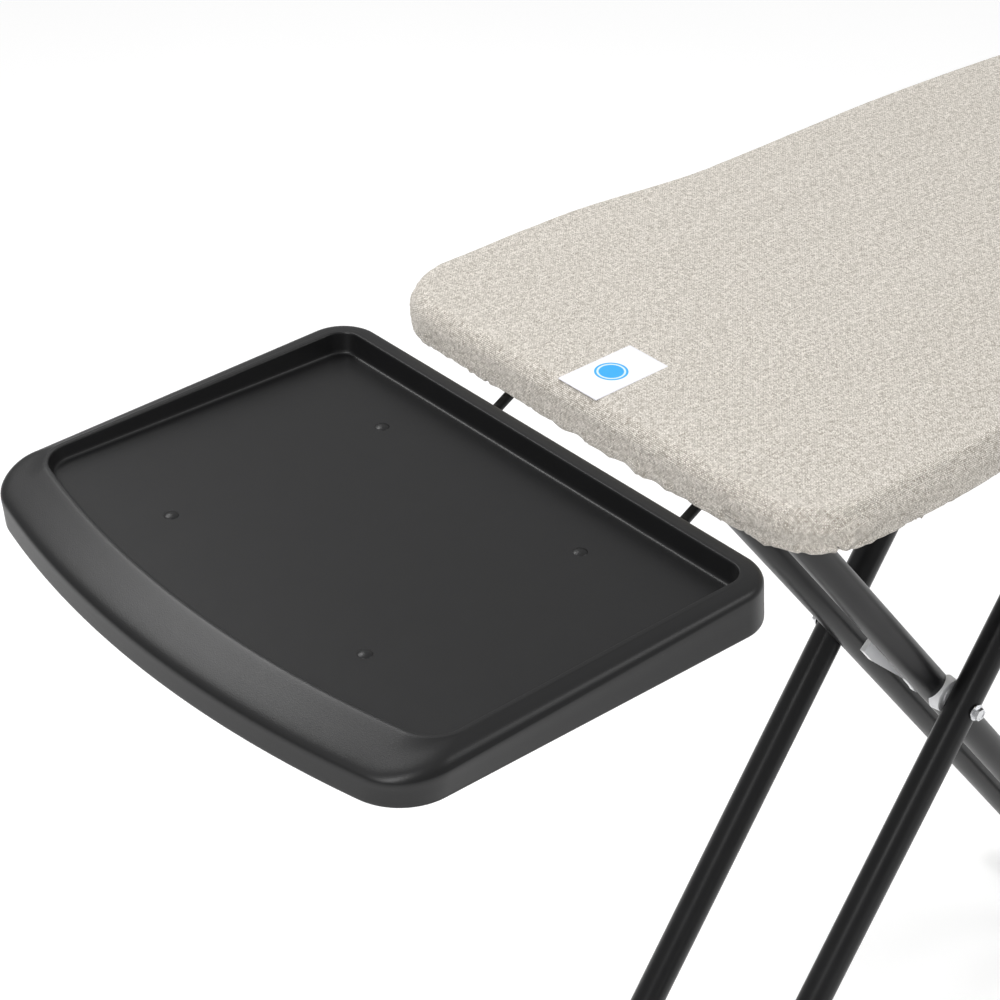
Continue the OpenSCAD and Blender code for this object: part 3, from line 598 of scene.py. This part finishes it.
def simulate_band(rows):
    """Gathers the side band by cloth simulation: the hem is cut longer than the ring that it is drawn into."""
    count = len(rows) - CASING
    free = rows[:count]
    data = bpy.data.meshes.new("gather_band")
    data.from_pydata(free.reshape(-1, 3).tolist(), [], loops_to_faces(count, COUNT))
    band = bpy.data.objects.new("gather_band", data)
    bpy.context.scene.collection.objects.link(band)
    band.shape_key_add(name="Basis")
    cut = band.shape_key_add(name="cut")
    extra = np.array([SECTION[k][2] for k in range(count)])[:, None] * (0.02 + 0.14 * GATHER)[None]
    centre = free - np.dstack([OUT[None, :, 0], OUT[None, :, 1], np.zeros((1, COUNT))]) * 0.058
    wider = centre + (free - centre) * (1 + np.clip(extra / np.clip(TURN, 0.25, 1), 0, 0.2))[..., None]
    cut.data.foreach_set("co", wider.astype(np.float32).ravel())
    pins = band.vertex_groups.new(name="pins")
    held = list(range(3 * COUNT)) + list(range((count - 1) * COUNT, count * COUNT))
    pins.add(held, 1.0, "REPLACE")
    cloth = band.modifiers.new("cloth", "CLOTH")
    settings = cloth.settings
    settings.vertex_group_mass = "pins"
    settings.rest_shape_key = cut
    settings.quality = 6
    settings.mass = 0.25
    settings.tension_stiffness = settings.compression_stiffness = 25
    settings.shear_stiffness = 6
    settings.bending_stiffness = 0.35
    settings.tension_damping = settings.compression_damping = 12
    settings.bending_damping = 2
    cloth.collision_settings.distance_min = 0.0008
    cloth.collision_settings.use_self_collision = False
    former = bpy.data.objects.new("former", bpy.data.meshes.new("former"))
    walls = np.array([level(i * MM, TOP + z * MM) for i, z in
                      ((30, -2.3), (15, -2.3), (10, -3), (7.4, -4.4), (5, -6.8), (3.4, -9.4), (2.4, -13), (2.2, -30.4),
                        (4, -32))])
    former.data.from_pydata(walls.reshape(-1, 3).tolist(), [], loops_to_faces(len(walls), COUNT))
    bpy.context.scene.collection.objects.link(former)
    former.modifiers.new("collision", "COLLISION")
    former.collision.thickness_outer = 0.001
    former.collision.cloth_friction = 8
    cloth.point_cache.frame_end = 40
    for number in range(1, 26):
        bpy.context.scene.frame_set(number)
    solved = band.evaluated_get(bpy.context.evaluated_depsgraph_get()).data
    out = np.empty(len(solved.vertices) * 3, np.float32)
    solved.vertices.foreach_get("co", out)
    out = out.reshape(count, COUNT, 3).astype(float)
    limit = np.linalg.norm(out - free, axis=2)[..., None]
    out = free + (out - free) * np.minimum(1, 6 * MM / np.maximum(limit, 1e-9))
    for o in (band, former):
        bpy.data.objects.remove(o)
    bpy.context.scene.frame_set(1)
    return np.concatenate([out, rows[count:] + (out[-1] - free[-1])])


def crown(x, y, u, v):
    """The pad's soft top: flat to a few tenths of a millimetre."""
    rise = np.sin(2 * math.pi * x / 0.31 + 1) * np.cos(2 * math.pi * y / 0.17) + 0.6 * np.sin(2 * math.pi * (x - y) / 0.13)
    edge = np.clip(np.minimum(np.minimum(u, 1 - u), np.minimum(v, 1 - v)) * 14, 0, 1)
    return edge * (0.25 + 0.3 * rise) * MM


def make_cover():
    rows, flats = band_rows()
    rows = simulate_band(rows)
    top, index = patch(rows[0], crown)
    fine = add_pleats(finer(rows))[1:]
    points = np.vstack([top, fine.reshape(-1, 3)])
    flat = np.vstack([top * (1, 1, 0), finer(flats)[1:].reshape(-1, 3)])
    first, round_count = len(top), 2 * COUNT
    faces = patch_faces()
    for i in range(COUNT):
        j = first + 2 * i
        faces.append((index[i], index[(i + 1) % COUNT], first + (2 * i + 2) % round_count, j + 1, j))
    faces += loops_to_faces(len(fine), round_count, start=first)
    made = piece("cover_cloth", points, faces, "board", "cover", LINEN, ["cover"])
    remember(made, flat)
    modify(made, "SOLIDIFY", thickness=0.9 * MM, offset=-1)
    return made


def make_pad():
    section = [(17, 0.1), (13, 0), (10.4, -0.5), (8.2, -1.5), (6.4, -2.9), (5, -4.6), (4.2, -6.2), (4.6, -7.1),
               (7, -7.6), (10, -7.7)]
    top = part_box("foam_pad")[1].z
    rows = np.array([level(i * MM, top + z * MM) for i, z in section])
    upper, index = patch(rows[0])
    lower, _ = patch(rows[-1])
    points = np.vstack([upper, rows[1:-1].reshape(-1, 3), lower])
    first, last = len(upper), len(upper) + (len(rows) - 2) * COUNT
    faces = patch_faces() + [tuple(i + last for i in f) for f in patch_faces(True)]
    faces += loops_to_faces(len(rows) - 2, COUNT, start=first)
    for i in range(COUNT):
        j = (i + 1) % COUNT
        faces.append((index[i], index[j], first + j, first + i))
        faces.append((last - COUNT + i, last - COUNT + j, last + index[j], last + index[i]))
    made = piece("foam_padding", points, faces, "board", "foam", FOAM, ["foam_pad"])
    return made


def make_hem_cord():
    z = HEM + 3.4 * MM
    loop = level(13.6 * MM, z)
    opening = np.abs(loop[:, 1]) < 9 * MM
    tail = (loop[:, 0] < COVER_X + 0.05) & opening
    keep = np.where(~tail)[0]
    cut = np.where(np.diff(keep) > 1)[0]
    order = np.r_[keep[cut[0] + 1:], keep[:cut[0] + 1]] if len(cut) else keep
    path = loop[order]
    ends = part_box("cord_toggle")
    middle_x, low = (ends[0].x + ends[1].x) / 2, ends[0].z
    for which, side in ((0, path[0]), (-1, path[-1])):
        y = math.copysign(5 * MM, side[1])
        lead = smooth_path([side, (side[0] + 6 * MM, y, low + 4 * MM), (middle_x + 4 * MM, y, low + 5 * MM),
                            (middle_x + 16 * MM, y * 1.3, low + 3 * MM), (middle_x + 30 * MM, y * 2.2, low - 1 * MM)], 6)[1:]
        path = np.vstack([lead[::-1], path]) if which == 0 else np.vstack([path, lead])
    points, faces, flat = sweep(path, 1.35 * MM, 10)
    made = piece("elastic_hem_cord", points, faces, "board", "cord", CORD, ["hem_cord"])
    remember(made, flat)
    return made


def make_label():
    low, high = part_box("label")
    middle, half = (low + high) / 2, (high - low) / 2
    radius, steps = 0.8 * MM, 6
    loop = []
    for cx, cy, a0 in ((1, 1, 0), (-1, 1, 90), (-1, -1, 180), (1, -1, 270)):
        for k in range(steps + 1):
            a = math.radians(a0 + 90 * k / steps)
            loop.append((middle.x + cx * (half.x - radius) + radius * math.cos(a),
                         middle.y + cy * (half.y - radius) + radius * math.sin(a)))
    loop = np.array(loop)
    centre = loop.mean(0)
    rows, flats = [], []
    for shrink, z in ((1, -0.3), (1, 0.2), (0.997, 0.45), (0.985, 0.6), (0.93, 0.5), (0.9, 0.62), (0.6, 0.66),
                      (0.02, 0.68)):
        line = centre + (loop - centre) * shrink
        rows.append(np.column_stack([line, np.full(len(line), high.z + z * MM)]))
        flats.append(np.column_stack([np.full(len(line), (1 - shrink) * half.y), np.zeros((len(line), 2))]))
    count = len(loop)
    faces = loops_to_faces(len(rows), count) + [tuple(range(count))[::-1],
                                                 tuple(range((len(rows) - 1) * count, len(rows) * count))]
    look = label_paint(middle.x - 0.7 * MM, middle.y + 1.4 * MM, 12.5 * MM, 2.2 * MM)
    made = piece("sewn_label", np.vstack(rows), faces, "board", "label", look, ["label"])
    remember(made, np.vstack(flats))
    return made


# ---------------------------------------------------------------- tray

TRAY_LOW, TRAY_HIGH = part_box("tray")
RIM = TRAY_HIGH.z


TRAY_HALF = 232 * MM  # half the width next to the board
# Heights of the tilted recess floor under the rim, next to the board and at the outer end
FLOOR_IN, FLOOR_OUT = -17.65, -8.35


def arc(cx, cy, r, a0, a1, steps):
    turns = np.linspace(a0, a1, steps + 1)
    return np.column_stack([cx + r * np.cos(turns), cy + r * np.sin(turns)])


def tray_loop(inset, end, narrow):
    """The tray's outline moved in by inset, by end more at its bowed end, where it is narrow less wide per side."""
    in_r, out_r, bow_r = 34, 44, 840
    half, x0, x1 = TRAY_HALF / MM, TRAY_LOW.x / MM, TRAY_HIGH.x / MM
    bow_x, y_out = x0 + bow_r + end, half - narrow - out_r
    x_out = bow_x - math.sqrt((bow_r - out_r) ** 2 - y_out ** 2)
    turn = math.asin(y_out / (bow_r - out_r))
    first = arc(x1 - in_r, half - in_r, in_r - inset, 0, math.pi / 2, 24)
    second = arc(x_out, y_out, out_r - inset, math.pi / 2, math.pi - turn, 32)
    side = np.linspace(first[-1], second[0], 25)[1:-1]
    left = np.vstack([first, side, second, arc(bow_x, 0, bow_r - inset, math.pi - turn, math.pi, 24)[1:]])
    return np.vstack([left, (left * (1, -1))[-2::-1]]) * MM


def tray_rows(section, steps=4):
    """Loops through a section. Each of its steps is (inset, end, narrow, height next to the board, height at the
    outer end, extra height along the bowed end), with the heights measured from the rim."""
    turning = np.linspace(0, 1, 33)
    bowed = np.r_[np.zeros(25 + 23), turning ** 2 * (3 - 2 * turning), np.ones(24)]
    bowed = np.r_[bowed, bowed[-2::-1]]
    rows = []
    for inset, end, narrow, z_in, z_out, z_bow in smooth_path(section, steps):
        loop = tray_loop(inset, end, narrow)
        out = (TRAY_HIGH.x - loop[:, 0]) / (TRAY_HIGH.x - TRAY_LOW.x)
        rows.append(np.column_stack([loop, RIM + (z_in + (z_out - z_in) * out + z_bow * bowed) * MM]))
    return rows


def make_tray():
    """A thin moulded shell: skirt, falling rim, recess and tilted floor outside, and the same 3 mm in."""
    low, high = FLOOR_IN, FLOOR_OUT
    outside = [(2.2, 0.6, 4.5, -36, -36, 0), (0.9, 0.4, 4.5, -35.7, -35.7, 0), (0.25, 0.1, 4.5, -34.9, -34.9, 0),
               (0, 0, 4.5, -33.4, -33.4, 0), (0.3, -0.3, 3, -27, -28, 0), (0.8, -0.8, 1, -18, -21.5, -0.5),
               (1.2, -1.2, -1.2, -8.5, -13.5, -4), (1.6, -0.9, -1.1, -5.8, -11, -4), (2.9, -0.1, -0.9, -3.6, -8, -4.9),
               (4.8, 1.7, -0.3, -2, -5.2, -5.7), (7.6, 6.4, 0.4, -1.1, -3.1, -4.8), (10.8, 12.2, 0.2, -0.55, -1.7, -2.8),
               (13.6, 18.9, -0.8, -0.2, -0.7, -0.2), (14.5, 20.3, -1, -0.08, -0.15, 0), (15.7, 20, -1, 0, 0, 0),
               (17.2, 20, -1, 0, 0, 0), (17.8, 20, -1, -0.25, -0.25, 0), (18.2, 20, -1, -0.95, -0.95, 0),
               (18.5, 20, -1, -2.2, -2, 0), (19.8, 20, -1, low + 4.4, high + 3, 0), (20.3, 20, -1, low + 2, high + 1.7, 0),
               (20.9, 20, -1, low + 0.8, high + 0.7, 0), (22, 20, -1, low + 0.15, high + 0.15, 0),
               (23.6, 20, -1, low, high, 0), (28, 20, -1, low, high, 0)]
    inside = [(28, 20, -1, low - 3, high - 3, 0), (23.6, 20, -1, low - 3, high - 3, 0),
              (21, 20, -1, low - 2.6, high - 2.6, 0), (18.6, 20, -1, low - 1, high - 1, 0),
              (17.5, 20, -1, low + 2, high + 1.2, 0), (16.2, 20, -1, -6.5, -4.6, 0), (15, 20, -1, -3.2, -3.3, -0.2),
              (11.2, 12.4, 0, -3.6, -4.8, -3.1), (8.2, 6.4, 0.4, -4.2, -6.3, -5), (5.8, 2.4, 0.2, -5.6, -9, -5.2),
              (4.6, 0, -0.2, -8, -12, -5), (4.2, -0.2, 0, -11.5, -16, -4), (3.8, 0.4, 2, -22, -24, -1),
              (3.4, 0.8, 4, -31, -31, 0), (3, 0.8, 4.3, -35.2, -35.2, 0), (2.6, 0.7, 4.4, -36, -36, 0)]
    upper, under = tray_rows(outside), tray_rows(inside)
    rows = upper + under
    count, split, last = len(rows[0]), len(upper), len(rows) - 1
    faces = loops_to_faces(split, count)
    faces += loops_to_faces(len(under), count, start=split * count)
    faces += [(last * count + i, last * count + (i + 1) % count, (i + 1) % count, i) for i in range(count)]
    faces += [tuple((split - 1) * count + i for i in range(count)),
              tuple(split * count + i for i in range(count - 1, -1, -1))]
    bumps = []
    dome = [(5.6, -0.6), (5.4, 0), (4.5, 0.5), (3.2, 1), (1.6, 1.35), (0.2, 1.45)]
    for bump_x in (TRAY_LOW.x + 99.5 * MM, TRAY_HIGH.x - 70 * MM):
        z = RIM + float(np.interp(bump_x, (TRAY_LOW.x, TRAY_HIGH.x), (FLOOR_OUT, FLOOR_IN))) * MM
        for flank in (-1, 1):
            bumps.append(lathe([(r * MM, d * MM) for r, d in dome], (bump_x, flank * 106 * MM, z), (0, 0, 1), 32))
    made = piece("steam_unit_tray", *gather([(np.vstack(rows), faces)] + bumps), "board", "tray_plastic", TRAY, ["tray"])
    modify(made, "EDGE_SPLIT", split_angle=math.radians(50))
    return made


# ---------------------------------------------------------------- small hardware


def make_cap(name, body):
    """A ribbed rubber cap with a rounded end and a flat tread below."""
    low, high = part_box(name)
    side = 1 if high.y > 0 else -1
    centre = (low + high) / 2
    length, r = high.y - low.y, (high.z - low.z) / 2
    start = Vector((centre.x, low.y if side > 0 else high.y, centre.z))
    ribs = []
    for k in range(5):
        at = 6.5 + 3.6 * k
        ribs += [(r, (at - 1.1) * MM), (r - 0.9 * MM, (at - 0.5) * MM), (r - 0.9 * MM, (at + 0.5) * MM),
                 (r, (at + 1.1) * MM)]
    tube_r = 14.1 * MM
    profile = [(tube_r, length - 4.5 * MM), (tube_r, 0.6 * MM), (tube_r + 0.5 * MM, 0), (r - 1.2 * MM, 0),
               (r - 0.3 * MM, 0.5 * MM), (r, 1.6 * MM)] + ribs
    for k in range(7):
        a = math.pi / 2 * k / 6
        profile.append((r - 5 * MM + 5 * MM * math.cos(a), length - 5 * MM + 5 * MM * math.sin(a)))
    profile += [(6 * MM, length), (5.4 * MM, length - 0.8 * MM), (0.3 * MM, length - 0.8 * MM)]
    return piece(name + "_ribbed", *lathe(profile, start, (0, side, 0), 64), body, "rubber", RUBBER, [name])


def make_spring():
    low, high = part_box("lever_spring")
    centre = (low + high) / 2
    wire = 0.85 * MM
    coil_r = (high.x - low.x) / 2 - wire
    turns, steps = 4.75, 28
    start = low.y + wire
    pitch = (high.y - low.y - 2 * wire) / turns
    path = [(centre.x + coil_r * math.cos(2 * math.pi * k / steps), start + pitch * k / steps,
             centre.z + coil_r * math.sin(2 * math.pi * k / steps)) for k in range(int(turns * steps) + 1)]
    return piece("torsion_spring", *sweep(path, wire, 10)[:2], "slider", "bare_steel", ZINC, ["lever_spring"])


def make_left_spacer():
    """The small spacer on the left pivot bolt, shaped to the side of the inner leg."""
    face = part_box("pivot_spacer_left")[1].y
    leg_low, leg_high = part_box("inner_leg_left")
    foot_low, foot_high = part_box("inner_foot_tube")
    bolt_low, bolt_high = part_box("pivot_bolt_left")
    x, z, y_leg = (bolt_low.x + bolt_high.x) / 2, (bolt_low.z + bolt_high.z) / 2, (leg_low.y + leg_high.y) / 2
    foot = Vector(((foot_low.x + foot_high.x) / 2, 0, (foot_low.z + foot_high.z) / 2))
    along = (Vector((x, 0, z)) - foot).normalized()
    across = Vector((along.z, 0, -along.x))
    tube_r, count = 14.05 * MM, 48
    # radius and distance from the outer face, in mm; None is on the side of the leg
    section = [(10.4, None), (10.4, -1.2), (10.2, -0.4), (9.6, 0), (7.4, 0), (7, -0.5), (5.6, -0.5), (5.2, 0), (4.2, 0),
               (4.1, None)]
    rows = []
    for r, y in section:
        for k in range(count):
            a = 2 * math.pi * k / count
            side = r * MM * math.cos(a)
            at_y = face + y * MM if y is not None else y_leg + math.sqrt(tube_r ** 2 - side ** 2)
            rows.append(Vector((x, at_y, z)) + across * side + along * (r * MM * math.sin(a)))
    faces = loops_to_faces(len(section), count)
    last = (len(section) - 1) * count
    faces += [(last + i, last + (i + 1) % count, (i + 1) % count, i) for i in range(count)]
    made = piece("left_pivot_spacer", rows, faces, "inner_legs", "grey_plastic", GREY, ["pivot_spacer_left"])
    modify(made, "EDGE_SPLIT", split_angle=math.radians(40))


def weld(centre, axis, joint_r, around, bead=1.2 * MM, seed=1):
    """A weld bead where a tube of radius joint_r meets a tube of radius around at right angles."""
    axis = Vector(axis).normalized()
    across = Vector((0, 1, 0)) if abs(axis.y) < 0.5 else Vector((1, 0, 0))
    side = axis.cross(across).normalized()
    rng = np.random.default_rng(seed)
    phase = rng.uniform(0, 6, 3)
    path, radii = [], []
    steps = 96
    for k in range(steps):
        a = 2 * math.pi * k / steps
        reach = math.sqrt(max(0.0, around ** 2 - (joint_r * math.cos(a)) ** 2))
        path.append(Vector(centre) + axis * reach + joint_r * (math.cos(a) * side + math.sin(a) * across))
        radii.append(bead * (1 + 0.12 * math.sin(24 * a + phase[0]) + 0.1 * math.sin(7 * a + phase[1])))
    return sweep(path, radii, 8, closed=True)[:2]


def make_welds():
    tube_r, brace_r = 14 * MM, 9 * MM
    for body, leg, foot, brace in (("inner_legs", "inner_leg_", "inner_foot_tube", "inner_brace"),
                                   ("outer_legs", "outer_leg_", "outer_foot_tube", "outer_brace")):
        beads = []
        low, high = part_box(foot)
        foot_at = (low + high) / 2
        low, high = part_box(brace)
        brace_at = (low + high) / 2
        for n, side in enumerate(("left", "right")):
            low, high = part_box(leg + side)
            y = (low.y + high.y) / 2
            up = Vector((brace_at.x - foot_at.x, 0, brace_at.z - foot_at.z))
            beads.append(weld((foot_at.x, y, foot_at.z), up, tube_r, tube_r + 0.01 * MM, 1.3 * MM, n))
            inward = Vector((0, -1 if y > 0 else 1, 0))
            ring = []
            across, normal = up.normalized(), up.normalized().cross(inward)
            for k in range(72):
                a = 2 * math.pi * k / 72
                reach = math.sqrt(tube_r ** 2 - (brace_r * math.sin(a)) ** 2)
                ring.append(Vector((brace_at.x, y, brace_at.z)) + inward * reach
                            + brace_r * (math.cos(a) * across + math.sin(a) * normal))
            wobble = [1.1 * MM * (1 + 0.12 * math.sin(18 * 2 * math.pi * k / 72 + n)) for k in range(72)]
            beads.append(sweep(ring, wobble, 8, closed=True)[:2])
        piece(body + "_weld_beads", *gather(beads), body, "leg_steel", LEG)


make_pad()
make_cover()
make_hem_cord()
make_label()
make_tray()
for cap_name, cap_body in (("inner_foot_cap_", "inner_legs"), ("outer_foot_cap_", "outer_legs")):
    for cap_side in ("left", "right"):
        make_cap(cap_name + cap_side, cap_body)
make_spring()
make_left_spacer()
make_welds()


# ---------------------------------------------------------------- floor, light and camera


def make_floor():
    p = Paint("floor", Specular_IOR_Level=0.2)
    cloud = p.noise(p.place(), 1.5, 2.0, 0.5)
    look = p.finish(p.blend(cloud, rgb(0.9, 0.9, 0.9), rgb(0.93, 0.93, 0.93)), 0.8,
                    p.bump(p.noise(p.place(), 300.0), 0.0001, 0.2))
    p.shader.inputs["Emission Color"].default_value = rgb(1, 1, 1)
    p.shader.inputs["Emission Strength"].default_value = 0.2
    size = 14  # metres from the middle to a side
    data = bpy.data.meshes.new("floor")
    data.from_pydata([(-size, -size, 0), (size, -size, 0), (size, size, 0), (-size, size, 0)], [], [(0, 1, 2, 3)])
    floor = bpy.data.objects.new("floor", data)
    floor.location.z = -0.5 * MM
    data.materials.append(look)
    bpy.context.scene.collection.objects.link(floor)


def softbox(name, place, aim, size, power):
    data = bpy.data.lights.new(name, "AREA")
    data.shape = "RECTANGLE"
    data.size, data.size_y = size
    data.energy = power
    light = bpy.data.objects.new(name, data)
    light.location = place
    light.rotation_euler = (Vector(aim) - Vector(place)).to_track_quat("-Z", "Y").to_euler()
    bpy.context.scene.collection.objects.link(light)


def make_studio():
    """A white room that is brighter overhead, with an overhead panel, a tall strip for the tubes and a soft key."""
    world = bpy.data.worlds.new("studio")
    world.use_nodes = True
    tree = world.node_tree
    split = tree.nodes.new("ShaderNodeSeparateXYZ")
    tree.links.new(tree.nodes.new("ShaderNodeTexCoord").outputs["Generated"], split.inputs[0])
    rise = tree.nodes.new("ShaderNodeMapRange")
    tree.links.new(split.outputs["Z"], rise.inputs["Value"])
    rise.inputs["To Min"].default_value, rise.inputs["To Max"].default_value = 0.3, 0.85
    tree.links.new(rise.outputs[0], tree.nodes["Background"].inputs["Strength"])
    tree.nodes["Background"].inputs["Color"].default_value = rgb(1, 1, 1)
    scene = bpy.context.scene
    scene.world = world
    scene.view_settings.view_transform = "Standard"
    softbox("overhead", (-0.55, 1.6, 2.9), (-0.45, 0, 0.98), (1.2, 0.8), 28)
    softbox("strip", (-2.7, -0.6, 2.6), (0, 0, 0.5), (0.8, 1.8), 42)
    softbox("key", (1.6, -2.4, 3.0), (-0.1, 0, 0.95), (1.6, 1.2), 26)


def make_camera():
    """The photographer's place: behind the tray's corner, looking down along the board."""
    data = bpy.data.cameras.new("camera")
    data.sensor_width, data.lens = 36, 103.15
    data.clip_start, data.clip_end = 0.05, 60
    camera = bpy.data.objects.new("camera", data)
    heading, dip, roll = 49.15, 33.40, -0.2
    camera.matrix_world = (Matrix.Translation((-1.61342, -1.27617, 2.04606))
                           @ Matrix.Rotation(math.radians(heading - 90), 4, "Z")
                           @ Matrix.Rotation(math.radians(90 - dip), 4, "X")
                           @ Matrix.Rotation(math.radians(roll), 4, "Z"))
    bpy.context.scene.collection.objects.link(camera)
    bpy.context.scene.camera = camera


make_floor()
make_studio()
make_camera()
